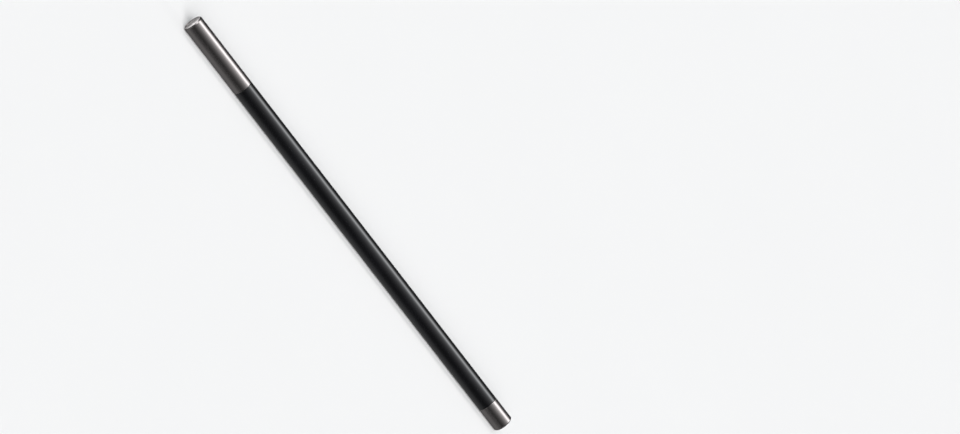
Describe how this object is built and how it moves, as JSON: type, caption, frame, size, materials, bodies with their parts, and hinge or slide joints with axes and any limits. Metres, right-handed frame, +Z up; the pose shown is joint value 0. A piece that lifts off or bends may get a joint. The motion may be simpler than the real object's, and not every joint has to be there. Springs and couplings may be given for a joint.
{
  "type": "magic wand",
  "caption": "Straight round stage wand, a gloss-black tube with a long and a short polished metal tip that screw off.",
  "frame": {"origin": "under the middle of the wand's length, on the surface it lies on", "axes": "+X along the wand from the long tip to the short tip, +Z up"},
  "size_m": [0.381, 0.015, 0.015],
  "materials": {
    "black_lacquer": "gloss",
    "polished_chrome": "polished",
    "turned_end_chrome": "polished",
    "turned_brass": "satin",
    "stud_steel": "satin",
    "o_ring_rubber": "matte",
    "fibre": "matte",
    "hardwood": "matte",
    "felt": "matte"
  },
  "bodies": {
    "shaft": {"shaft_tube": "black_lacquer", "long_end_bush": "turned_brass", "short_end_bush": "turned_brass", "long_end_pad": "felt", "core_dowel": "hardwood", "short_end_pad": "felt"},
    "long_ring": {"long_tip_o_ring": "o_ring_rubber"},
    "long_tip": {"long_tip_sleeve": "polished_chrome", "long_tip_end_plug": "turned_end_chrome", "long_tip_joint_plug": "turned_brass", "long_tip_stud": "stud_steel", "long_tip_washer": "fibre", "long_tip_core": "hardwood"},
    "short_ring": {"short_tip_o_ring": "o_ring_rubber"},
    "short_tip": {"short_tip_sleeve": "polished_chrome", "short_tip_end_plug": "turned_end_chrome", "short_tip_joint_plug": "turned_brass", "short_tip_stud": "stud_steel", "short_tip_washer": "fibre"}
  },
  "joints": [
    {"name": "long_tip_travel", "type": "slide", "parent": "shaft", "child": "long_ring", "axis": [-1, 0, 0], "range_m": [0, 0.009]},
    {"name": "long_tip_unscrew", "type": "hinge", "parent": "long_ring", "child": "long_tip", "pos_m": [-0.1295, 0, 0.0075], "axis": [-1, 0, 0], "range_deg": [0, 2593]},
    {"name": "short_tip_travel", "type": "slide", "parent": "shaft", "child": "short_ring", "axis": [1, 0, 0], "range_m": [0, 0.009]},
    {"name": "short_tip_unscrew", "type": "hinge", "parent": "short_ring", "child": "short_tip", "pos_m": [0.1705, 0, 0.0075], "axis": [1, 0, 0], "range_deg": [0, 2593]}
  ],
  "couplings": [
    {"joint": "long_tip_unscrew", "follows": "long_tip_travel", "rad_per_m": 5026.5},
    {"joint": "short_tip_unscrew", "follows": "short_tip_travel", "rad_per_m": 5026.5}
  ]
}
